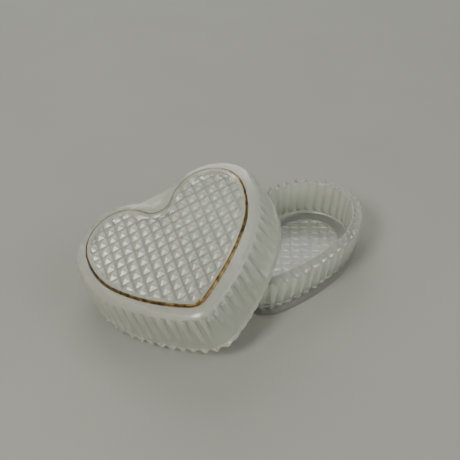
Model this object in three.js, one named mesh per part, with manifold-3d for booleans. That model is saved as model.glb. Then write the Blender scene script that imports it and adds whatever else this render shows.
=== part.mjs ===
// Heart-shaped trinket box of frosted pressed glass, in two pieces: a dish and its lid.
// The dish stands flat. The lid is off, one edge on the ground and leaning on the rim of the dish.
// Millimetres, +Z up. The heart's tip points along -Y on the dish.
import * as THREE from 'three';
import { mergeVertices } from 'three/addons/utils/BufferGeometryUtils.js';
import Module from 'manifold-3d';

const wasm = await Module();
wasm.setup();

// Heart on the lid, the edge of its raised panel: half of it is five arcs that run into each other
const HEART_WIDTH = 79.9;
const LOBE_RADIUS = 0.2223 * HEART_WIDTH;
const NOTCH_DEPTH = 0.1539 * HEART_WIDTH;
const HIP_RADIUS = 0.539 * HEART_WIDTH;
const SIDE_RADIUS = 1.329 * HEART_WIDTH;
const TIP_RADIUS = 0.0678 * HEART_WIDTH;
const HIP_START = 1.4;
const SIDE_START = -37.6;
const NOTCH_MIN_RADIUS = 1.5;
const OUTLINE_STEP = 5.2;

// Ribs of both walls, shallower towards the rim, and the zigzag that they make of both rims
const RIB_WIDTH = 5.5;
const RIB_DEPTH = 1.4;
const RIM_RIB_DEPTH = 0.6;
const RIM_NOTCH = 2.7;

// Outlines that dish and lid share at the rim, measured outwards from the heart on the lid
const RIM_SPREAD = 10;
const WALL_THICKNESS = 5.3;

// Dish
const DISH_HEIGHT = 21.9;
const FOOT_SPREAD = 7.8;
const FOOT_EDGE = 1.2;
const DISH_RIB_START = 2;
const DISH_RIB_RUN = 2.6;
const DISH_FLOOR = 3.6;
const DISH_INNER_DRAFT = 2;
const DISH_CORNER = 2.6;

// Lid, upright: its panel on top, its shoulder round the panel and the wall below
const LID_HEIGHT = 25.2;
const PANEL_STEP = 1;
const STEP_SLOPE = 0.5;
const SHOULDER_DROP = 5.6;
const SHOULDER_SPREAD = 7.2;
const LID_RIB_START = 44;
const LID_RIB_FULL = 68;
const SHOULDER_END = 82;
const LID_TOP = 5;
const LID_INNER_DRAFT = 3;
const LID_CORNER = 4;

// Small square pyramids on the lid's panel and under the dish's floor
const CELL = 5.22;
const PYRAMID_HEIGHT = 1.4;
const PATTERN_MARGIN = 2.1;
const PATTERN_SUNK = 0.2;
const GROOVE_LEVEL = 1.6;

// Place of the lid, from the lobe centres of the dish to those of the lid's panel, and how it leans
const LID_X = -47.8;
const LID_Y = -41.3;
const LEAN_TOWARDS = -133.1;
const LID_TURN = 19.7;
const LEAST_TILT = 5;
const MOST_TILT = 60;
const TILT_STEP = 0.02;
const RESTING_GAP = 0.3;

const radians = THREE.MathUtils.degToRad;
const lobeX = HEART_WIDTH / 2 - LOBE_RADIUS;

// One half of the heart, from its notch to its tip, widened by spread all round
function heartArcs(spread) {
  const byDepth = (lobeX ** 2 - 2 * LOBE_RADIUS * NOTCH_DEPTH + NOTCH_DEPTH ** 2) / (2 * NOTCH_DEPTH);
  const notchRadius = Math.max(byDepth - spread, NOTCH_MIN_RADIUS);
  const lobeRadius = LOBE_RADIUS + spread;
  const notchY = Math.sqrt((lobeRadius + notchRadius) ** 2 - lobeX ** 2);
  const notchEnd = Math.atan2(-notchY, lobeX);
  const hipStart = radians(HIP_START);
  const sideStart = radians(SIDE_START);
  const hipX = lobeX - (HIP_RADIUS - LOBE_RADIUS) * Math.cos(hipStart);
  const hipY = -(HIP_RADIUS - LOBE_RADIUS) * Math.sin(hipStart);
  const sideX = hipX - (SIDE_RADIUS - HIP_RADIUS) * Math.cos(sideStart);
  const sideY = hipY - (SIDE_RADIUS - HIP_RADIUS) * Math.sin(sideStart);
  const tipY = sideY - Math.sqrt((SIDE_RADIUS - TIP_RADIUS) ** 2 - sideX ** 2);
  const sideEnd = Math.atan2(tipY - sideY, -sideX);
  const arc = (x, y, radius, from, to) =>
    new THREE.EllipseCurve(x, y, radius, radius, from, to, to < from);
  return [
    arc(0, notchY, notchRadius, -Math.PI / 2, notchEnd),
    arc(lobeX, 0, lobeRadius, notchEnd + Math.PI, hipStart),
    arc(hipX, hipY, HIP_RADIUS + spread, hipStart, sideStart),
    arc(sideX, sideY, SIDE_RADIUS + spread, sideStart, sideEnd),
    arc(0, tipY, TIP_RADIUS + spread, sideEnd, -Math.PI / 2),
  ];
}

// The ribs share the rim's length, with a valley at the tip and one at the notch, so their number is even
const rimArcs = heartArcs(RIM_SPREAD);
const arcLengths = rimArcs.map((arc) => arc.getLength());
const halfRim = arcLengths.reduce((sum, length) => sum + length, 0);
const ribCount = 2 * Math.round(halfRim / RIB_WIDTH);

// Stations on the half outline from notch to tip, each an arc and a share of it
const stations = Array.from({ length: ribCount + 1 }, (_, i) => {
  let run = halfRim * i / ribCount;
  let k = 0;
  while (k < rimArcs.length - 1 && run > arcLengths[k]) {
    run -= arcLengths[k];
    k += 1;
  }
  return { k, share: Math.min(run / arcLengths[k], 1) };
});

// A closed ring of points at one spread and height; valleys may lie deeper in and at another height
function ring(spread, z, valleyDepth = 0, valleyZ = z) {
  const ridgeArcs = heartArcs(spread);
  const valleyArcs = heartArcs(spread - valleyDepth);
  const half = stations.map(({ k, share }, i) => {
    const valley = i % 2 === 0;
    const p = (valley ? valleyArcs : ridgeArcs)[k].getPoint(share);
    return new THREE.Vector3(p.x, p.y, valley ? valleyZ : z);
  });
  half[0].x = 0;
  half[ribCount].x = 0;
  const mirrored = half.slice(1, -1).map((p) => new THREE.Vector3(-p.x, p.y, p.z));
  return [...half.reverse(), ...mirrored];
}

// A closed body through a list of rings, its two ends filled flat
function loft(rings) {
  const count = rings[0].length;
  const positions = rings.flat().flatMap((p) => [p.x, p.y, p.z]);
  const index = [];
  for (let r = 0; r < rings.length - 1; r += 1) {
    for (let i = 0; i < count; i += 1) {
      const j = (i + 1) % count;
      const a = r * count + i;
      const b = r * count + j;
      index.push(a, b, b + count, a, b + count, a + count);
    }
  }
  const ends = [[rings[0], 0, true], [rings[rings.length - 1], (rings.length - 1) * count, false]];
  for (const [end, start, first] of ends) {
    const flat = end.map((p) => new THREE.Vector2(p.x, p.y));
    for (const [a, b, c] of THREE.ShapeUtils.triangulateShape(flat, [])) {
      index.push(start + a, start + (first ? c : b), start + (first ? b : c));
    }
  }
  const geometry = new THREE.BufferGeometry();
  geometry.setAttribute('position', new THREE.Float32BufferAttribute(positions, 3));
  geometry.setIndex(index);
  return geometry;
}

function toSolid(geometry) {
  geometry.deleteAttribute('normal');
  geometry.deleteAttribute('uv');
  const merged = mergeVertices(geometry, 1e-4);
  const vertProperties = new Float32Array(merged.attributes.position.array);
  const triVerts = new Uint32Array(merged.index.array);
  return new wasm.Manifold(new wasm.Mesh({ numProp: 3, vertProperties, triVerts }));
}

function toGeometry(solid) {
  const mesh = solid.getMesh();
  const geometry = new THREE.BufferGeometry();
  geometry.setAttribute('position', new THREE.BufferAttribute(new Float32Array(mesh.vertProperties), 3));
  geometry.setIndex(Array.from(mesh.triVerts));
  return geometry;
}

// A heart-shaped block, upright, between two heights
function heartBlock(spread, bottom, top) {
  const arcs = heartArcs(spread);
  const half = arcs.flatMap((arc) => arc.getPoints(Math.max(2, Math.ceil(arc.getLength() / OUTLINE_STEP)))
    .slice(0, -1));
  half.push(arcs[arcs.length - 1].getPoint(1));
  const mirrored = half.slice(1, -1).reverse().map((p) => new THREE.Vector2(-p.x, p.y));
  const shape = new THREE.Shape([...half, ...mirrored]);
  const block = new THREE.ExtrudeGeometry(shape, { depth: top - bottom, bevelEnabled: false });
  block.translate(0, 0, bottom);
  return toSolid(block);
}

// A slab whose lower face is a field of square hollows, the counterpart of pyramids that point up
function pyramidField(base) {
  const outline = heartArcs(0);
  const lowest = outline[outline.length - 1].getPoint(1).y;
  const columns = 2 * Math.ceil(HEART_WIDTH / 2 / CELL) + 1;
  const bottomRow = GROOVE_LEVEL - (Math.ceil((GROOVE_LEVEL - lowest) / CELL) + 1) * CELL;
  const rows = Math.ceil((LOBE_RADIUS - bottomRow) / CELL) + 1;
  const plane = new THREE.PlaneGeometry(columns * CELL, rows * CELL, 2 * columns, 2 * rows);
  const at = plane.attributes.position;
  const positions = [];
  const index = [];
  for (let i = 0; i < at.count; i += 1) {
    positions.push(at.getX(i), at.getY(i) + bottomRow + rows * CELL / 2, base);
  }
  const across = 2 * columns + 1;
  const vertex = (row, column) => row * across + column;
  for (let row = 1; row < 2 * rows; row += 2) {
    for (let column = 1; column < 2 * columns; column += 2) {
      const peak = vertex(row, column);
      positions[3 * peak + 2] = base + PYRAMID_HEIGHT;
      const corners = [
        vertex(row - 1, column - 1), vertex(row - 1, column), vertex(row - 1, column + 1),
        vertex(row, column + 1), vertex(row + 1, column + 1), vertex(row + 1, column),
        vertex(row + 1, column - 1), vertex(row, column - 1),
      ];
      corners.forEach((corner, i) => index.push(peak, corner, corners[(i + 1) % corners.length]));
    }
  }
  const topZ = base + PYRAMID_HEIGHT + CELL;
  const offset = positions.length / 3;
  const edge = [];
  for (let column = 0; column < across; column += 1) edge.push(vertex(0, column));
  for (let row = 1; row <= 2 * rows; row += 1) edge.push(vertex(row, across - 1));
  for (let column = across - 2; column >= 0; column -= 1) edge.push(vertex(2 * rows, column));
  for (let row = 2 * rows - 1; row > 0; row -= 1) edge.push(vertex(row, 0));
  edge.forEach((v) => positions.push(positions[3 * v], positions[3 * v + 1], topZ));
  positions.push(0, bottomRow + rows * CELL / 2, topZ);
  const centre = offset + edge.length;
  edge.forEach((v, i) => {
    const next = (i + 1) % edge.length;
    index.push(v, offset + next, edge[next], v, offset + i, offset + next);
    index.push(offset + i, centre, offset + next);
  });
  const geometry = new THREE.BufferGeometry();
  geometry.setAttribute('position', new THREE.Float32BufferAttribute(positions, 3));
  geometry.setIndex(index);
  return toSolid(geometry);
}

// The waste to take out above a panel at height level, which leaves the pyramids standing in it
function patternCutter(level) {
  const base = level - PATTERN_SUNK - PYRAMID_HEIGHT;
  return pyramidField(base).intersect(heartBlock(-PATTERN_MARGIN, base - 1, level + 1));
}

// A quarter round that joins two straight lines, as pairs of spread and height
function rounded(spread, z, radius, up, steps = 2) {
  return Array.from({ length: steps + 1 }, (_, i) => {
    const turn = Math.PI / 2 * i / steps;
    return [spread - radius * (1 - Math.cos(turn)), z + up * radius * (1 - Math.sin(turn))];
  });
}

function dishSolid() {
  const inner = RIM_SPREAD - WALL_THICKNESS;
  const corner = rounded(inner - DISH_INNER_DRAFT, DISH_FLOOR, DISH_CORNER, 1);
  const ribTop = DISH_RIB_START + DISH_RIB_RUN;
  const ribSpread = FOOT_SPREAD + (RIM_SPREAD - FOOT_SPREAD) * ribTop / DISH_HEIGHT;
  const body = toSolid(loft([
    ring(FOOT_SPREAD - FOOT_EDGE, 0),
    ring(FOOT_SPREAD, FOOT_EDGE),
    ring(FOOT_SPREAD, DISH_RIB_START),
    ring(ribSpread, ribTop, RIB_DEPTH),
    ring(RIM_SPREAD, DISH_HEIGHT, RIM_RIB_DEPTH, DISH_HEIGHT - RIM_NOTCH),
    ring(inner, DISH_HEIGHT),
    ...corner.map(([spread, z]) => ring(spread, z)),
  ]));
  const underside = patternCutter(0).mirror([0, 0, 1]);
  return body.subtract(underside);
}

function lidSolid() {
  const inner = RIM_SPREAD - WALL_THICKNESS;
  const shoulderTop = LID_HEIGHT - PANEL_STEP;
  const shoulder = (degrees) => {
    const turn = radians(degrees);
    return [
      STEP_SLOPE + SHOULDER_SPREAD * Math.sin(turn),
      shoulderTop - SHOULDER_DROP * (1 - Math.cos(turn)),
    ];
  };
  const smooth = [0, LID_RIB_START / 2, LID_RIB_START].map(shoulder);
  const ribbed = [SHOULDER_END, LID_RIB_FULL].map(shoulder);
  const ribTop = shoulder((LID_RIB_START + LID_RIB_FULL) / 2);
  const corner = rounded(inner - LID_INNER_DRAFT, LID_HEIGHT - LID_TOP, LID_CORNER, -1, 3);
  const body = toSolid(loft([
    ...corner.reverse().map(([spread, z]) => ring(spread, z)),
    ring(inner, 0),
    ring(RIM_SPREAD, 0, RIM_RIB_DEPTH, RIM_NOTCH),
    ...ribbed.map(([spread, z]) => ring(spread, z, RIB_DEPTH)),
    ring(...ribTop, RIB_DEPTH / 2),
    ...smooth.reverse().map(([spread, z]) => ring(spread, z)),
    ring(0, LID_HEIGHT),
  ]));
  return body.subtract(patternCutter(LID_HEIGHT));
}

// The lid turned about its own axis and tilted, its lowest point on the ground
function leaningLid(solid, tilt) {
  const turn = new THREE.Matrix4().makeRotationZ(radians(LID_TURN));
  const lean = new THREE.Matrix4().makeRotationAxis(
    new THREE.Vector3(-Math.sin(radians(LEAN_TOWARDS)), Math.cos(radians(LEAN_TOWARDS)), 0), tilt);
  const pose = lean.multiply(turn);
  const panel = new THREE.Vector3(0, 0, LID_HEIGHT).applyMatrix4(pose);
  pose.setPosition(LID_X - panel.x, LID_Y - panel.y, 0);
  const lowest = solid.transform(pose.elements).boundingBox().min[2];
  pose.elements[14] = -lowest;
  return { pose, solid: solid.transform(pose.elements) };
}

// The least tilt at which the lid clears the dish: it has come down to rest on the dish's rim
function restingTilt(lid, dish) {
  let touching = radians(LEAST_TILT);
  let clear = radians(MOST_TILT);
  while (clear - touching > radians(TILT_STEP)) {
    const middle = (clear + touching) / 2;
    if (leaningLid(lid, middle).solid.minGap(dish, 2 * RESTING_GAP) < RESTING_GAP) {
      touching = middle;
    } else {
      clear = middle;
    }
  }
  return clear;
}

const dish = dishSolid();
const lid = lidSolid();
const tilt = restingTilt(lid, dish);
const { solid: placedLid } = leaningLid(lid, tilt);

const frosted = (colour) => new THREE.MeshStandardMaterial({ color: colour, roughness: 0.6, metalness: 0 });
const group = new THREE.Group();
const dishMesh = new THREE.Mesh(toGeometry(dish), frosted(0xc9cac4));
dishMesh.name = 'dish';
const lidMesh = new THREE.Mesh(toGeometry(placedLid), frosted(0xd2d3ce));
lidMesh.name = 'lid';
group.add(dishMesh, lidMesh);

// The origin is under the middle of the whole, on the ground
const box = new THREE.Box3().setFromObject(group);
const middle = box.getCenter(new THREE.Vector3());
for (const mesh of group.children) {
  mesh.geometry.translate(-middle.x, -middle.y, 0);
}

export default group;
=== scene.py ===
# Looks of the heart-shaped trinket box: a dish and its lid, pressed in glass and frosted by acid,
# with a line of liquid gold painted round the raised panel of the lid. Metres, +Z up, in the solids' frame.
import math

import bpy
import numpy as np
from mathutils import Matrix, Vector
from mathutils.geometry import delaunay_2d_cdt


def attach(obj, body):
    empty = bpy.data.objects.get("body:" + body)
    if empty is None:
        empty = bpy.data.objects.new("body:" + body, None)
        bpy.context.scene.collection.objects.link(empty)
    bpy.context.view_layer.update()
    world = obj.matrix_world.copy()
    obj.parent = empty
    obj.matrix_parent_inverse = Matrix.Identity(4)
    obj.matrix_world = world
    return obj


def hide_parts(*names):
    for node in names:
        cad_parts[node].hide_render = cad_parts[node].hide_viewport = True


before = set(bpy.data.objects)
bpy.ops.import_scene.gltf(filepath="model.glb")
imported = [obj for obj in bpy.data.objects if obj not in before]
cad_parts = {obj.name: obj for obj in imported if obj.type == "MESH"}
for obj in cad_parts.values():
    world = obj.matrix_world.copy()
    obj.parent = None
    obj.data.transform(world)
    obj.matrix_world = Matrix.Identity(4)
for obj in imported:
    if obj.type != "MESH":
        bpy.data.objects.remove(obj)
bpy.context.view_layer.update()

MM = 0.001

# Heart on the lid, the edge of its raised panel, in millimetres and degrees, as in the solids
HEART_WIDTH = 79.9
LOBE_RADIUS = 0.2223 * HEART_WIDTH
NOTCH_DEPTH = 0.1539 * HEART_WIDTH
HIP_RADIUS = 0.539 * HEART_WIDTH
SIDE_RADIUS = 1.329 * HEART_WIDTH
TIP_RADIUS = 0.0678 * HEART_WIDTH
HIP_START = 1.4
SIDE_START = -37.6
NOTCH_MIN_RADIUS = 1.5
LOBE_X = HEART_WIDTH / 2 - LOBE_RADIUS

# Ribs of the walls, shallower towards the rim, and the zigzag that they make of both rims
RIBS_PER_HALF = 28
RIB_DEPTH = 1.4
RIM_RIB_DEPTH = 0.6
RIM_NOTCH = 2.7
RIM_SPREAD = 10.0
WALL_THICKNESS = 5.3
INNER = RIM_SPREAD - WALL_THICKNESS
# Depth of the ribs at a rim, as a share of their full depth
AT_RIM = RIM_RIB_DEPTH / RIB_DEPTH
# Rounding of a rim outside and inside, and the spreads of the rows across its flat
ROUND_EDGE = 0.5
LIP = 0.6
RIM_ROWS = (5.9, 6.6, 7.4, 8.2, 9)
# The walls here are smooth curves and the solids' are straight facets: this keeps them inside
WALL_SLACK = 0.035

# Dish
DISH_HEIGHT = 21.9
FOOT_SPREAD = 7.8
FOOT_EDGE = 1.2
FOOT_ROWS = (2.5, 5)
DISH_RIB_START = 2.0
DISH_RIB_RUN = 2.6
DISH_FLOOR = 3.6
DISH_INNER_DRAFT = 2.0
DISH_CORNER = 2.6
DISH_WALL_ROWS = 8
# Ribs round the back of the lobes: depth at the rim as a share, how many a side, and how many they fade over
BACK_DEPTH = 0.9
BACK_RIBS = 12
BACK_FADE = 4

# Lid, upright
LID_HEIGHT = 25.2
PANEL_STEP = 1.0
STEP_SLOPE = 0.5
SHOULDER_DROP = 5.6
SHOULDER_SPREAD = 7.2
LID_RIB_START = 44.0
LID_RIB_FULL = 68.0
SHOULDER_END = 82.0
LID_TOP = 5.0
LID_INNER_DRAFT = 3.0
LID_CORNER = 4.0
LID_WALL_ROWS = 9
# Rows of the shoulder in degrees from the panel, closer together where the ribs run out
SHOULDER_ROWS = (77, 72, 68, 65, 62, 59, 56, 53, 50, 47, 44, 38, 31, 24, 17, 10)
# Softened edge of the raised panel: how far in it reaches, and how its upper corner is broken
PANEL_SOFT = 0.25
CORNER_IN = 0.05
CORNER_DOWN = 0.06

# Teeth of the rim on the right side of the lid, against those on the left, and where they fade, in ribs
RIGHT_TEETH = 0.3
NOTCH_FADE = 2
TIP_REACH = 0.5
TIP_FADE = 1.5

# Square pyramids on the lid's panel and under the dish's floor
CELL = 5.22
PYRAMID_HEIGHT = 1.4
PATTERN_MARGIN = 2.1
PATTERN_SUNK = 0.2
PATTERN_WALL = 0.2
GROOVE_LEVEL = 1.6
# Row of the plain margin that stands just outside the pattern
MARGIN_ROW = 0.15
# Cells that cover the largest field both ways, and places of the grid's lines in a cell, fine and coarse
CELLS_ACROSS = range(-8, 9)
CELLS_ALONG = range(-13, 5)
FINE = (0, 0.04, 0.1, 0.2, 0.32, 0.42, 0.5, 0.58, 0.68, 0.8, 0.9, 0.96)
COARSE = (0, 0.5)
CUT_TOLERANCE = 1e-7

# Corners of the ribs and pyramids: 1 is a knife edge; and how softly the slopes of a pyramid meet
SHARPNESS = 0.985
ARRIS_BLEND = 0.05

# Line of gold: what it covers inside the panel's edge and below the step, and how the brush strayed
GILT_INSIDE = 0.55
GILT_BELOW = 0.2
GILT_STRAY = 0.14
GILT_LEAST_BELOW = 0.02
GILT_LEAST_INSIDE = PANEL_SOFT + 0.05
GILT_MOST_INSIDE = PATTERN_MARGIN - 0.3
BRUSH_WAVES = (2, 3, 5, 8, 13, 21, 34)
# Blobs of the line, at the tip and just right of it: ribs past the tip, reach in ribs, share of full size
BLOBS = ((-0.1, 0.3, 0.6), (-0.95, 0.4, 1.0))
BLOB_OUT = 0.35
BLOB_EDGE_RISE = 0.3
BLOB_RISE = 0.5
BLOB_IN = 0.9

# Places of the two pieces in the frame, and how the lid leans
DISH_PLACE = (20.290, 33.987, 0.0)
LID_PLACE = (-20.792, -0.133, 19.723)
LID_TURN = 19.7
LEAN_TOWARDS = -133.1
LID_TILT = 22.966


def heart_arcs(spread):
    """Half of the heart from notch to tip, widened by spread.
    Each arc is its centre, its radius and its first and last angle."""
    by_depth = (LOBE_X ** 2 - 2 * LOBE_RADIUS * NOTCH_DEPTH + NOTCH_DEPTH ** 2) / (2 * NOTCH_DEPTH)
    notch = max(by_depth - spread, NOTCH_MIN_RADIUS)
    notch_y = math.sqrt((LOBE_RADIUS + spread + notch) ** 2 - LOBE_X ** 2)
    notch_end = math.atan2(-notch_y, LOBE_X)
    hip_start = math.radians(HIP_START)
    side_start = math.radians(SIDE_START)
    hip_x = LOBE_X - (HIP_RADIUS - LOBE_RADIUS) * math.cos(hip_start)
    hip_y = -(HIP_RADIUS - LOBE_RADIUS) * math.sin(hip_start)
    side_x = hip_x - (SIDE_RADIUS - HIP_RADIUS) * math.cos(side_start)
    side_y = hip_y - (SIDE_RADIUS - HIP_RADIUS) * math.sin(side_start)
    tip_y = side_y - math.sqrt((SIDE_RADIUS - TIP_RADIUS) ** 2 - side_x ** 2)
    side_end = math.atan2(tip_y - side_y, -side_x)
    return (
        (0, notch_y, notch, -math.pi / 2, notch_end),
        (LOBE_X, 0, LOBE_RADIUS + spread, notch_end + math.pi, hip_start),
        (hip_x, hip_y, HIP_RADIUS + spread, hip_start, side_start),
        (side_x, side_y, SIDE_RADIUS + spread, side_start, side_end),
        (0, tip_y, TIP_RADIUS + spread, side_end, -math.pi / 2),
    )


RIM_LENGTHS = [radius * abs(last - first) for _, _, radius, first, last in heart_arcs(RIM_SPREAD)]
HALF_RIM = sum(RIM_LENGTHS)

# Phases of the columns: whole at a groove, a half at a rib's ridge, and closer together in the notch
IN_A_RIB = (0, 0.05, 0.12, 0.25, 0.38, 0.45, 0.5, 0.55, 0.62, 0.75, 0.88, 0.95)
FIRST_RIB = (0, 0.03, 0.06, 0.09, 0.12, 0.15, 0.18, 0.21, 0.24, 0.29, 0.35, 0.4, 0.45,
             0.5, 0.55, 0.62, 0.75, 0.88, 0.95)
RIGHT_PHASES = list(FIRST_RIB) + [rib + part for rib in range(1, RIBS_PER_HALF) for part in IN_A_RIB]
LEFT_PHASES = [2 * RIBS_PER_HALF - phase for phase in reversed(RIGHT_PHASES[1:])]
PHASES = np.array(RIGHT_PHASES + [RIBS_PER_HALF] + LEFT_PHASES)
COUNT = len(PHASES)


def outline(spread):
    """Points of the heart widened by spread, one for each column; spread may differ from column to column."""
    spreads = np.broadcast_to(np.asarray(spread, float), (COUNT,))
    points = np.empty((COUNT, 2))
    last_arc = len(RIM_LENGTHS) - 1
    for i, (phase, wide) in enumerate(zip(PHASES, spreads)):
        half = phase if phase <= RIBS_PER_HALF else 2 * RIBS_PER_HALF - phase
        run = HALF_RIM * half / RIBS_PER_HALF
        k = 0
        while k < last_arc and run > RIM_LENGTHS[k]:
            run -= RIM_LENGTHS[k]
            k += 1
        x, y, radius, first, last = heart_arcs(wide)[k]
        angle = first + (last - first) * min(run / RIM_LENGTHS[k], 1)
        points[i] = (x + radius * math.cos(angle), y + radius * math.sin(angle))
        if half != phase:
            points[i, 0] *= -1
    # notch and tip lie on the middle line
    points[0, 0] = 0
    points[len(RIGHT_PHASES), 0] = 0
    return points


class Pressing:
    """Collects one closed skin of rings and filled ends, with what the relief needs at each point."""

    def __init__(self):
        self.points = []
        self.out = []
        self.rib = []
        self.depth = []
        self.drop = []
        self.pattern = []
        self.faces = []
        self.gilt = []

    def ring(self, spread, z, depth=0.0, drop=0.0):
        """Adds a row of points round the heart, and returns the number of its first point."""
        start = len(self.points)
        at = outline(spread)
        out = (at - outline(np.asarray(spread) - RIB_DEPTH)) / RIB_DEPTH
        heights = np.broadcast_to(np.asarray(z, float), (COUNT,))
        self.points += [(x, y, h) for (x, y), h in zip(at, heights)]
        self.out += [(x, y, 0) for x, y in out]
        self.rib += list(PHASES)
        self.depth += list(np.broadcast_to(depth, (COUNT,)))
        self.drop += list(np.broadcast_to(drop, (COUNT,)))
        self.pattern += [0.0] * COUNT
        return start

    def band(self, lower, upper, gilt=False):
        """Faces between two rows; they look outwards when the second row lies above the first."""
        for i in range(COUNT):
            j = (i + 1) % COUNT
            self.faces.append((lower + j, lower + i, upper + i, upper + j))
            self.gilt.append(gilt)

    def fill(self, edge, z, up, grid, patterned=False):
        """Fills a row with a flat field of small faces, cut along the slopes of the pyramids."""
        loop = np.array([self.points[edge + i][:2] for i in range(COUNT)])
        coords = [Vector(p) for p in loop]
        edges = [(i, (i + 1) % COUNT) for i in range(COUNT)]
        inner = loop
        if patterned:
            inner = outline(-PATTERN_MARGIN - PATTERN_WALL)
            coords += [Vector(p) for p in inner]
            edges += [(COUNT + i, COUNT + (i + 1) % COUNT) for i in range(COUNT)]
        columns = np.concatenate([k + np.array(grid) for k in CELLS_ACROSS]) * CELL - CELL / 2
        rows = np.concatenate([k + np.array(grid) for k in CELLS_ALONG]) * CELL + GROOVE_LEVEL
        xs, ys = np.meshgrid(columns, rows)
        keep = inside(xs.ravel(), ys.ravel(), inner).reshape(xs.shape)
        number = np.full(xs.shape, -1)
        for r, c in zip(*np.nonzero(keep)):
            number[r, c] = len(coords)
            coords.append(Vector((xs[r, c], ys[r, c])))
        if patterned:
            edges += slopes(number, len(grid))
        flat, _, faces, origins, _, _ = delaunay_2d_cdt(coords, edges, [], 1, CUT_TOLERANCE, True)
        place = []
        for point, origin in zip(flat, origins):
            from_edge = [o for o in origin if o < COUNT]
            if from_edge:
                place.append(edge + from_edge[0])
                continue
            place.append(len(self.points))
            self.points.append((point.x, point.y, z))
            self.out.append((0, 0, 0))
            self.rib.append(0.0)
            self.depth.append(0.0)
            self.drop.append(0.0)
            self.pattern.append(1.0 if patterned else 0.0)
        for face in faces:
            corners = [place[v] for v in face]
            self.faces.append(tuple(corners if up else reversed(corners)))
            self.gilt.append(False)

    def mesh(self, name):
        """The skin as a mesh in metres, its relief's values kept as attributes."""
        mesh = bpy.data.meshes.new(name)
        mesh.from_pydata((np.array(self.points) * MM).tolist(), [], self.faces)
        for key, kind, values in (
            ("out", "FLOAT_VECTOR", np.array(self.out)), ("rib", "FLOAT", self.rib),
            ("depth", "FLOAT", self.depth), ("drop", "FLOAT", self.drop), ("pattern", "FLOAT", self.pattern),
        ):
            attribute = mesh.attributes.new(key, kind, "POINT")
            attribute.data.foreach_set("vector" if kind == "FLOAT_VECTOR" else "value",
                                       np.asarray(values, np.float32).ravel())
        mesh.attributes.new("gilt", "BOOLEAN", "FACE").data.foreach_set("value", self.gilt)
        mesh.shade_smooth()
        return mesh


def inside(xs, ys, loop, clearance=0.09):
    """Which points lie inside a closed loop and clear of its edge."""
    result = np.zeros(len(xs), bool)
    ax, ay = loop[:, 0], loop[:, 1]
    bx, by = np.roll(ax, -1), np.roll(ay, -1)
    for i in range(len(xs)):
        crosses = (ay > ys[i]) != (by > ys[i])
        at = ax + (ys[i] - ay) * (bx - ax) / np.where(crosses, by - ay, 1)
        if np.count_nonzero(crosses & (xs[i] < at)) % 2:
            t = ((xs[i] - ax) * (bx - ax) + (ys[i] - ay) * (by - ay)) / ((bx - ax) ** 2 + (by - ay) ** 2)
            t = np.clip(t, 0, 1)
            near = np.hypot(ax + t * (bx - ax) - xs[i], ay + t * (by - ay) - ys[i]).min()
            result[i] = near > clearance
    return result


def slopes(number, steps):
    """Edges along the four arrises of each pyramid, between neighbouring points of the field."""
    edges = []
    for r in range(number.shape[0] - 1):
        for c in range(number.shape[1] - 1):
            u, v = c % steps, r % steps
            if u == v and number[r, c] >= 0 and number[r + 1, c + 1] >= 0:
                edges.append((int(number[r, c]), int(number[r + 1, c + 1])))
            if u + v == steps - 1 and number[r, c + 1] >= 0 and number[r + 1, c] >= 0:
                edges.append((int(number[r, c + 1]), int(number[r + 1, c])))
    return edges


def ease(share):
    """A soft start and end for a change that runs from 0 to 1."""
    return share * share * (3 - 2 * share)


def strokes(seed, size):
    """How a hand strays round the heart: a few slow waves with fixed phases."""
    rng = np.random.default_rng(seed)
    turn = 2 * math.pi * PHASES / (2 * RIBS_PER_HALF)
    waves = sum(np.sin(n * turn + rng.uniform(0, 2 * math.pi)) / math.sqrt(n) for n in BRUSH_WAVES)
    return size * waves / 2


def wall_share(spread):
    """Where a spread lies in the thickness of a wall's rim: 0 inside, 1 outside."""
    return (spread - INNER) / WALL_THICKNESS


def dish_wall(z):
    """Spread of the dish's wall at a height, from the foot to the rim."""
    return FOOT_SPREAD + (RIM_SPREAD - FOOT_SPREAD) * z / DISH_HEIGHT


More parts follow.
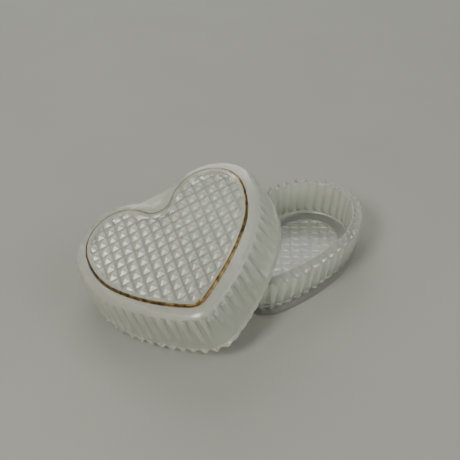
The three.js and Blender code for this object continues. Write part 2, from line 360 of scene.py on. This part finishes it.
def dish_skin():
    """The plain dish, from the pattern under its floor up the outside, over the rim and down inside."""
    skin = Pressing()
    full = DISH_RIB_START + DISH_RIB_RUN
    rows = [skin.ring(s, 0) for s in (-PATTERN_MARGIN, 0, *FOOT_ROWS, FOOT_SPREAD - FOOT_EDGE)]
    for turn in (25, 50, 75):
        angle = math.radians(turn)
        s = FOOT_SPREAD - FOOT_EDGE * (1 - math.sin(angle))
        rows.append(skin.ring(s, FOOT_EDGE * (1 - math.cos(angle))))
    rows.append(skin.ring(FOOT_SPREAD, FOOT_EDGE))
    for share in (0, 0.15, 0.3, 0.45, 0.6, 0.75, 0.9):
        z = DISH_RIB_START + DISH_RIB_RUN * share
        s = FOOT_SPREAD + (dish_wall(full) - FOOT_SPREAD) * share
        rows.append(skin.ring(s, z, depth=ease(share)))
    # the ribs round the back of the lobes stay deep up to the rim
    from_notch = np.minimum(PHASES, 2 * RIBS_PER_HALF - PHASES)
    at_back = np.clip((BACK_RIBS - from_notch) / BACK_FADE, 0, 1)
    at_rim = AT_RIM + (BACK_DEPTH - AT_RIM) * at_back
    for z in np.linspace(full, DISH_HEIGHT - ROUND_EDGE, DISH_WALL_ROWS):
        share = (z - full) / (DISH_HEIGHT - full)
        rows.append(skin.ring(dish_wall(z) - WALL_SLACK, z, 1 + (at_rim - 1) * share, share))
    for turn in (30, 60, 90):
        angle = math.radians(turn)
        s = RIM_SPREAD - ROUND_EDGE * (1 - math.cos(angle))
        z = DISH_HEIGHT - ROUND_EDGE * (1 - math.sin(angle))
        rows.append(skin.ring(s - WALL_SLACK, z, wall_share(s) * at_rim, wall_share(s)))
    for s in reversed(RIM_ROWS):
        rows.append(skin.ring(s, DISH_HEIGHT, wall_share(s) * at_rim, wall_share(s)))
    for turn in (0, 30, 60, 90):
        angle = math.radians(turn)
        rows.append(skin.ring(INNER + LIP * (1 - math.sin(angle)), DISH_HEIGHT - LIP * (1 - math.cos(angle))))
    bottom = INNER - DISH_INNER_DRAFT
    for share in (0.25, 0.5, 0.75):
        z = DISH_HEIGHT - LIP - (DISH_HEIGHT - LIP - DISH_FLOOR - DISH_CORNER) * share
        rows.append(skin.ring(INNER + (bottom - INNER) * share, z))
    for turn in (0, 15, 30, 45, 60, 75, 90):
        angle = math.radians(turn)
        rows.append(skin.ring(bottom - DISH_CORNER * (1 - math.cos(angle)),
                              DISH_FLOOR + DISH_CORNER * (1 - math.sin(angle))))
    for lower, upper in zip(rows, rows[1:]):
        skin.band(lower, upper)
    skin.fill(rows[0], 0, False, FINE, True)
    skin.fill(rows[-1], DISH_FLOOR, True, COARSE)
    return skin.mesh("dish_skin")


def shoulder(degrees):
    """Spread and height of the lid's shoulder, at an angle from the panel."""
    turn = math.radians(degrees)
    spread = STEP_SLOPE + (SHOULDER_SPREAD - WALL_SLACK) * math.sin(turn)
    return spread, LID_HEIGHT - PANEL_STEP - SHOULDER_DROP * (1 - math.cos(turn))


def lid_skin():
    """The plain lid upright, from its ceiling down the inside, over the rim and up to the panel."""
    skin = Pressing()
    top = LID_HEIGHT - PANEL_STEP
    ceiling = LID_HEIGHT - LID_TOP
    inner_end = INNER - LID_INNER_DRAFT
    rows = []
    for turn in (90, 75, 60, 45, 30, 15, 0):
        angle = math.radians(turn)
        rows.append(skin.ring(inner_end - LID_CORNER * (1 - math.cos(angle)),
                              ceiling - LID_CORNER * (1 - math.sin(angle))))
    for share in (0.75, 0.5, 0.25):
        rows.append(skin.ring(INNER - LID_INNER_DRAFT * share, LIP + (ceiling - LID_CORNER - LIP) * share))
    for turn in (90, 60, 30, 0):
        angle = math.radians(turn)
        rows.append(skin.ring(INNER + LIP * (1 - math.sin(angle)), LIP * (1 - math.cos(angle))))
    # in the picture the lid's teeth stop at the tip, and its rim runs almost smooth up the right side
    past_notch = np.clip(PHASES / NOTCH_FADE, 0, 1)
    before_tip = np.clip((RIBS_PER_HALF + TIP_REACH - PHASES) / TIP_FADE, 0, 1)
    tooth = 1 - (1 - RIGHT_TEETH) * (past_notch * before_tip)
    for s in RIM_ROWS:
        rows.append(skin.ring(s, 0, wall_share(s) * AT_RIM * tooth, -wall_share(s) * tooth))
    for turn in (90, 60, 30):
        angle = math.radians(turn)
        s = RIM_SPREAD - ROUND_EDGE * (1 - math.cos(angle))
        rows.append(skin.ring(s - WALL_SLACK, ROUND_EDGE * (1 - math.sin(angle)),
                              wall_share(s) * AT_RIM * tooth, -wall_share(s) * tooth))
    edge = RIM_SPREAD - WALL_SLACK
    wall_top, wall_z = shoulder(SHOULDER_END)
    at_rim = AT_RIM * tooth
    for z in np.linspace(ROUND_EDGE, wall_z, LID_WALL_ROWS):
        share = z / wall_z
        rows.append(skin.ring(edge + (wall_top - edge) * share, z,
                              at_rim + (1 - at_rim) * share, (share - 1) * tooth))
    run = LID_RIB_FULL - LID_RIB_START
    for degrees in SHOULDER_ROWS:
        depth = ease(min(max((degrees - LID_RIB_START) / run, 0), 1))
        rows.append(skin.ring(*shoulder(degrees), depth))
    # the gold starts a little below the step, along an edge that strays
    below = GILT_BELOW + strokes(seed=3, size=GILT_STRAY)
    turn = np.arcsin(np.clip(below, GILT_LEAST_BELOW, None) / SHOULDER_SPREAD)
    gilt_from = len(rows)
    rows.append(skin.ring(STEP_SLOPE + SHOULDER_SPREAD * np.sin(turn),
                          top - SHOULDER_DROP * (1 - np.cos(turn))))
    rows.append(skin.ring(STEP_SLOPE, top))
    for share in (0.35, 0.75):
        rows.append(skin.ring(STEP_SLOPE * (1 - share), top + PANEL_STEP * share))
    past_tip = PHASES - RIBS_PER_HALF
    blob = sum(size * np.exp(-((past_tip - at) / reach) ** 2) for at, reach, size in BLOBS)
    rows.append(skin.ring(-CORNER_IN + BLOB_OUT * blob, LID_HEIGHT - CORNER_DOWN + BLOB_EDGE_RISE * blob))
    rows.append(skin.ring(-PANEL_SOFT, LID_HEIGHT + BLOB_RISE * blob))
    strayed = GILT_INSIDE + strokes(seed=8, size=GILT_STRAY) + BLOB_IN * blob
    rows.append(skin.ring(-np.clip(strayed, GILT_LEAST_INSIDE, GILT_MOST_INSIDE), LID_HEIGHT))
    gilt_to = len(rows) - 1
    rows.append(skin.ring(-PATTERN_MARGIN + MARGIN_ROW, LID_HEIGHT))
    rows.append(skin.ring(-PATTERN_MARGIN, LID_HEIGHT))
    for i, (lower, upper) in enumerate(zip(rows, rows[1:])):
        skin.band(lower, upper, gilt_from <= i < gilt_to)
    skin.fill(rows[0], ceiling, False, COARSE)
    skin.fill(rows[-1], LID_HEIGHT, True, FINE, True)
    return skin.mesh("lid_skin")


def add(tree, kind, inputs=None, **settings):
    """Adds one node with its settings, and sets or links its inputs."""
    node = tree.nodes.new(kind)
    for key, value in settings.items():
        setattr(node, key, value)
    for key, value in (inputs or {}).items():
        if isinstance(value, bpy.types.NodeSocket):
            tree.links.new(value, node.inputs[key])
        else:
            node.inputs[key].default_value = value
    return node


def relief_tree(glass, gilt):
    """Presses the ribs into the walls and the pyramids into the flat fields of a plain skin."""
    tree = bpy.data.node_groups.new("pressed_relief", "GeometryNodeTree")
    tree.interface.new_socket("Skin", in_out="INPUT", socket_type="NodeSocketGeometry")
    values = (
        ("Rib depth", RIB_DEPTH * MM), ("Rim notch", RIM_NOTCH * MM), ("Cell", CELL * MM),
        ("Groove level", GROOVE_LEVEL * MM), ("Pyramid height", PYRAMID_HEIGHT * MM),
        ("Pattern sunk", PATTERN_SUNK * MM), ("Field faces up", 1), ("Sharpness", SHARPNESS),
    )
    for name, value in values:
        socket = tree.interface.new_socket(name, in_out="INPUT", socket_type="NodeSocketFloat")
        socket.default_value = value
    tree.interface.new_socket("Relief", in_out="OUTPUT", socket_type="NodeSocketGeometry")
    given = add(tree, "NodeGroupInput").outputs

    def maths(operation, *values, clamp=False):
        return add(tree, "ShaderNodeMath", dict(enumerate(values)),
                   operation=operation, use_clamp=clamp).outputs[0]

    def kept(name, kind="FLOAT"):
        return add(tree, "GeometryNodeInputNamedAttribute", {"Name": name},
                   data_type=kind).outputs["Attribute"]

    least = maths("ARCCOSINE", given["Sharpness"])
    most = maths("SUBTRACT", math.pi, least)

    def zigzag(turns):
        """0 in the grooves, where turns is whole, and 1 half-way between; corners a little rounded."""
        wave = maths("COSINE", maths("MULTIPLY", turns, 2 * math.pi))
        angle = maths("ARCCOSINE", maths("MULTIPLY", wave, given["Sharpness"]))
        return add(tree, "ShaderNodeMapRange",
                   {"Value": angle, "From Min": least, "From Max": most}).outputs["Result"]

    # ribs: their grooves go inwards on the walls, and up or down into the wall at the rims
    valley = maths("SUBTRACT", 1, zigzag(kept("rib")))
    rib_groove = maths("MULTIPLY", valley, given["Rib depth"])
    inwards = maths("MULTIPLY", rib_groove, maths("MULTIPLY", kept("depth"), -1))
    rim_groove = maths("MULTIPLY", valley, given["Rim notch"])
    lowered = maths("MULTIPLY", rim_groove, maths("MULTIPLY", kept("drop"), -1))
    rib_move = add(tree, "ShaderNodeVectorMath", {0: kept("out", "FLOAT_VECTOR"), "Scale": inwards},
                   operation="SCALE").outputs[0]

    # pyramids: their peaks lie a little below the flat field
    place = add(tree, "ShaderNodeSeparateXYZ", {0: add(tree, "GeometryNodeInputPosition").outputs[0]}).outputs
    across = zigzag(maths("ADD", maths("DIVIDE", place["X"], given["Cell"]), 0.5))
    along = zigzag(maths("DIVIDE", maths("SUBTRACT", place["Y"], given["Groove level"]), given["Cell"]))
    peak = maths("SMOOTH_MIN", across, along, ARRIS_BLEND)
    below_peak = maths("SUBTRACT", 1, peak, clamp=True)
    sunk = maths("ADD", given["Pattern sunk"], maths("MULTIPLY", given["Pyramid height"], below_peak))
    into_field = maths("MULTIPLY", given["Field faces up"], -1)
    pressed_in = maths("MULTIPLY", maths("MULTIPLY", sunk, kept("pattern")), into_field)
    up_move = add(tree, "ShaderNodeCombineXYZ", {"Z": maths("ADD", pressed_in, lowered)}).outputs[0]
    move = add(tree, "ShaderNodeVectorMath", {0: rib_move, 1: up_move}, operation="ADD").outputs[0]

    # how deep in a groove each point lies, which drives the painted shade that darkens the grooves
    groove = maths("MAXIMUM", maths("MULTIPLY", below_peak, kept("pattern")),
                   maths("MULTIPLY", valley, kept("depth")))
    noted = add(tree, "GeometryNodeStoreNamedAttribute",
                {"Geometry": given["Skin"], "Name": "groove", "Value": groove}).outputs[0]
    moved = add(tree, "GeometryNodeSetPosition", {"Geometry": noted, "Offset": move}).outputs[0]
    real = add(tree, "GeometryNodeRealizeInstances", {"Geometry": moved}).outputs[0]
    frosted = add(tree, "GeometryNodeSetMaterial", {"Geometry": real, "Material": glass}).outputs[0]
    painted = add(tree, "GeometryNodeSetMaterial",
                  {"Geometry": frosted, "Selection": kept("gilt", "BOOLEAN"), "Material": gilt}).outputs[0]
    add(tree, "NodeGroupOutput", {0: painted})
    return tree


def pressed(name, skin, tree, field_up, matrix):
    """Runs the relief on a skin, makes the result a plain mesh and puts it in its place."""
    piece = bpy.data.objects.new(name, skin)
    bpy.context.scene.collection.objects.link(piece)
    modifier = piece.modifiers.new("relief", "NODES")
    modifier.node_group = tree
    for item in tree.interface.items_tree:
        if item.item_type == "SOCKET" and item.name == "Field faces up":
            modifier[item.identifier] = float(1 if field_up else -1)
    bpy.context.view_layer.update()
    graph = bpy.context.evaluated_depsgraph_get()
    mesh = bpy.data.meshes.new_from_object(piece.evaluated_get(graph), preserve_all_data_layers=True,
                                           depsgraph=graph)
    piece.modifiers.remove(modifier)
    piece.data = mesh
    for key in ("out", "rib", "depth", "drop", "pattern", "gilt"):
        if key in mesh.attributes:
            mesh.attributes.remove(mesh.attributes[key])
    mesh.transform(matrix)
    mesh.update()
    mesh.name = name
    return piece


def linear(colour):
    """An sRGB hex value as linear red, green, blue and full alpha."""
    parts = [int(colour[i:i + 2], 16) / 255 for i in (1, 3, 5)]
    return tuple(c / 12.92 if c <= 0.04045 else ((c + 0.055) / 1.055) ** 2.4 for c in parts) + (1,)


def material(name):
    """An empty node material."""
    made = bpy.data.materials.new(name)
    made.use_nodes = True
    made.node_tree.nodes.clear()
    return made


def noise(tree, where, size, detail=2.0):
    """Noise whose patches are about size millimetres across."""
    return add(tree, "ShaderNodeTexNoise",
               {"Vector": where, "Scale": 1 / (size * MM), "Detail": detail}).outputs["Fac"]


def between(tree, factor, start, start_colour, end, end_colour):
    """A blend of two sRGB colours, from the factor's start to its end."""
    ramp = add(tree, "ShaderNodeValToRGB", {"Fac": factor})
    first, last = ramp.color_ramp.elements
    first.position = start
    first.color = linear(start_colour)
    last.position = end
    last.color = linear(end_colour)
    return ramp.outputs["Color"]


def frosted_glass():
    """Pressed soda-lime glass dulled in an acid bath: grey-white, lets light through but no picture,
    slightly uneven in how fine the frost is, with a fine grain that softens every glint."""
    made = material("acid_frosted_pressed_glass")
    tree = made.node_tree
    where = add(tree, "ShaderNodeTexCoord").outputs["Object"]
    # cloudiness of the bath, about 12 mm across
    cloud = noise(tree, where, 12, 3.0)
    # grain of the frost: really about 0.05 mm, drawn at 0.35 mm so that it shows
    grain = noise(tree, where, 0.35)
    tint = between(tree, cloud, 0.3, "#e6eade", 0.7, "#eff2e7")
    # painted shade: the grooves are coloured darker than the faces beside them, down to 0.64 of the tint at
    # their bottoms, where shade falls
    groove = add(tree, "ShaderNodeAttribute", attribute_name="groove").outputs["Fac"]
    shade = add(tree, "ShaderNodeMapRange", {
        "Value": groove, "From Min": 0.62, "From Max": 0.97, "To Min": 1.0, "To Max": 0.64,
    }).outputs["Result"]
    shaded = add(tree, "ShaderNodeVectorMath", {0: tint, "Scale": shade}, operation="SCALE").outputs[0]
    rough = add(tree, "ShaderNodeMapRange",
                {"Value": cloud, "To Min": 0.21, "To Max": 0.25}).outputs["Result"]
    bump = add(tree, "ShaderNodeBump", {"Height": grain, "Strength": 0.12, "Distance": 0.05 * MM}).outputs[0]
    shader = add(tree, "ShaderNodeBsdfPrincipled", {
        "Base Color": shaded, "Roughness": rough, "IOR": 1.52, "Transmission Weight": 0.78,
        "Specular IOR Level": 0.36, "Normal": bump,
    }).outputs[0]
    add(tree, "ShaderNodeOutputMaterial", {"Surface": shader})
    return made


def liquid_gold():
    """Bright gold fired on from a brush: a warm yellow-brown metal, thinner and browner in streaks,
    with small ridges left by the bristles."""
    made = material("brushed_on_liquid_gold")
    tree = made.node_tree
    where = add(tree, "ShaderNodeTexCoord").outputs["Object"]
    # patches where the film is thin, about 2.5 mm long
    thin = noise(tree, where, 2.5, 4.0)
    # bristle marks, about 0.25 mm apart
    marks = noise(tree, where, 0.25)
    colour = between(tree, thin, 0.32, "#3a2e17", 0.62, "#917850")
    rough = add(tree, "ShaderNodeMapRange", {"Value": thin, "To Min": 0.5, "To Max": 0.28}).outputs["Result"]
    bump = add(tree, "ShaderNodeBump", {"Height": marks, "Strength": 0.4, "Distance": 0.08 * MM}).outputs[0]
    shader = add(tree, "ShaderNodeBsdfPrincipled", {
        "Base Color": colour, "Metallic": 1.0, "Roughness": rough, "Normal": bump,
    }).outputs[0]
    add(tree, "ShaderNodeOutputMaterial", {"Surface": shader})
    return made


def studio_floor():
    """Matt painted board: a plain pale grey with no shine."""
    made = material("matt_painted_board")
    tree = made.node_tree
    where = add(tree, "ShaderNodeTexCoord").outputs["Object"]
    # unevenness of the paint, about 80 mm across
    patches = noise(tree, where, 80)
    colour = between(tree, patches, 0.0, "#8c8c87", 1.0, "#92928c")
    shader = add(tree, "ShaderNodeBsdfPrincipled", {"Base Color": colour, "Roughness": 0.9}).outputs[0]
    add(tree, "ShaderNodeOutputMaterial", {"Surface": shader})
    return made


# Camera: found by fitting both hearts and the pyramids in the picture, which is 460 pixels square.
# It looks down by VIEW_DOWN; the point VIEW_POINT shows at VIEW_PIXEL, VIEW_DISTANCE away along the view.
PICTURE = 460
FOCAL_PIXELS = 738.504
VIEW_PIXEL = (264.425, 275.393)
VIEW_POINT = (20.290, 4.457, 0.0)
VIEW_DISTANCE = 375.9
VIEW_DOWN = 35.972
VIEW_TURN = 3.584
VIEW_ROLL = -2.029


def set_camera():
    """Puts the camera where the fit says that the picture was taken from."""
    down = math.radians(VIEW_DOWN)
    roll = math.radians(VIEW_ROLL)
    turn = Matrix.Rotation(math.radians(VIEW_TURN), 3, "Z")
    forward = turn @ Vector((0, math.cos(down), -math.sin(down)))
    up = turn @ Vector((0, math.sin(down), math.cos(down)))
    right = turn @ Vector((1, 0, 0))
    across = (VIEW_PIXEL[0] - PICTURE / 2) / FOCAL_PIXELS * VIEW_DISTANCE
    above = (PICTURE / 2 - VIEW_PIXEL[1]) / FOCAL_PIXELS * VIEW_DISTANCE
    eye = Vector(VIEW_POINT) - across * right - above * up - VIEW_DISTANCE * forward
    rolled_right = math.cos(roll) * right + math.sin(roll) * up
    rolled_up = math.cos(roll) * up - math.sin(roll) * right
    data = bpy.data.cameras.new("camera")
    data.sensor_width = 36
    data.lens = FOCAL_PIXELS / PICTURE * data.sensor_width
    data.clip_start = 0.01
    camera = bpy.data.objects.new("camera", data)
    axes = Matrix((rolled_right, rolled_up, -forward)).transposed().to_4x4()
    camera.matrix_world = Matrix.Translation(eye * MM) @ axes
    bpy.context.scene.collection.objects.link(camera)
    bpy.context.scene.camera = camera


# Floor of the studio in metres: half its width and length, the sweep at its back and how high that goes
FLOOR_HALF_WIDTH = 2.2
FLOOR_HALF_LENGTH = 1.6
FLOOR_SWEEP = 0.5
FLOOR_BACK_HEIGHT = 1.6
WORLD_COLOUR = "#eef0ec"
WORLD_STRENGTH = 0.44


def soft_light(name, azimuth, elevation, distance, size, power, colour):
    """An area light that looks at the object from a direction in degrees."""
    data = bpy.data.lights.new(name, "AREA")
    data.size = size
    data.energy = power
    data.color = linear(colour)[:3]
    lamp = bpy.data.objects.new(name, data)
    a = math.radians(azimuth)
    e = math.radians(elevation)
    towards = Vector((math.cos(a) * math.cos(e), math.sin(a) * math.cos(e), math.sin(e)))
    facing = towards.to_track_quat("Z", "Y").to_matrix().to_4x4()
    lamp.matrix_world = Matrix.Translation(towards * distance) @ facing
    bpy.context.scene.collection.objects.link(lamp)


def set_studio():
    """A plain floor that sweeps up at the back, three soft lights and an even sky."""
    sweep = [math.radians(t) for t in range(0, 91, 10)]
    start = FLOOR_HALF_LENGTH - FLOOR_SWEEP
    profile = [(-FLOOR_HALF_LENGTH, 0.0)]
    profile += [(start + FLOOR_SWEEP * math.sin(t), FLOOR_SWEEP * (1 - math.cos(t))) for t in sweep]
    profile += [(FLOOR_HALF_LENGTH, FLOOR_BACK_HEIGHT)]
    points = [(x, y, z) for y, z in profile for x in (-FLOOR_HALF_WIDTH, FLOOR_HALF_WIDTH)]
    faces = [(2 * i, 2 * i + 1, 2 * i + 3, 2 * i + 2) for i in range(len(profile) - 1)]
    floor_mesh = bpy.data.meshes.new("floor")
    floor_mesh.from_pydata(points, [], faces)
    floor_mesh.shade_smooth()
    floor_mesh.materials.append(studio_floor())
    floor = bpy.data.objects.new("floor", floor_mesh)
    bpy.context.scene.collection.objects.link(floor)
    soft_light("key", azimuth=-126, elevation=44, distance=1.1, size=0.32, power=8.5, colour="#fffbf2")
    soft_light("back", azimuth=102, elevation=38, distance=1.4, size=1.0, power=11, colour="#fafcf8")
    soft_light("right", azimuth=-20, elevation=28, distance=1.4, size=1.2, power=9.5, colour="#fdfdf8")
    world = bpy.data.worlds.new("studio")
    world.use_nodes = True
    background = world.node_tree.nodes["Background"]
    background.inputs["Color"].default_value = linear(WORLD_COLOUR)
    background.inputs["Strength"].default_value = WORLD_STRENGTH
    bpy.context.scene.world = world


def moved_to(place):
    """The matrix that moves a piece to a place in millimetres."""
    return Matrix.Translation(Vector(place) * MM)


relief = relief_tree(frosted_glass(), liquid_gold())
lean = math.radians(LEAN_TOWARDS)
lid_matrix = (
    moved_to(LID_PLACE)
    @ Matrix.Rotation(math.radians(LID_TILT), 4, Vector((-math.sin(lean), math.cos(lean), 0)))
    @ Matrix.Rotation(math.radians(LID_TURN), 4, "Z")
)
dish = pressed("glass_dish", dish_skin(), relief, False, moved_to(DISH_PLACE))
lid = pressed("glass_lid", lid_skin(), relief, True, lid_matrix)
for piece, node in ((dish, "dish"), (lid, "lid")):
    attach(piece, "root")
    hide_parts(node)

set_camera()
set_studio()
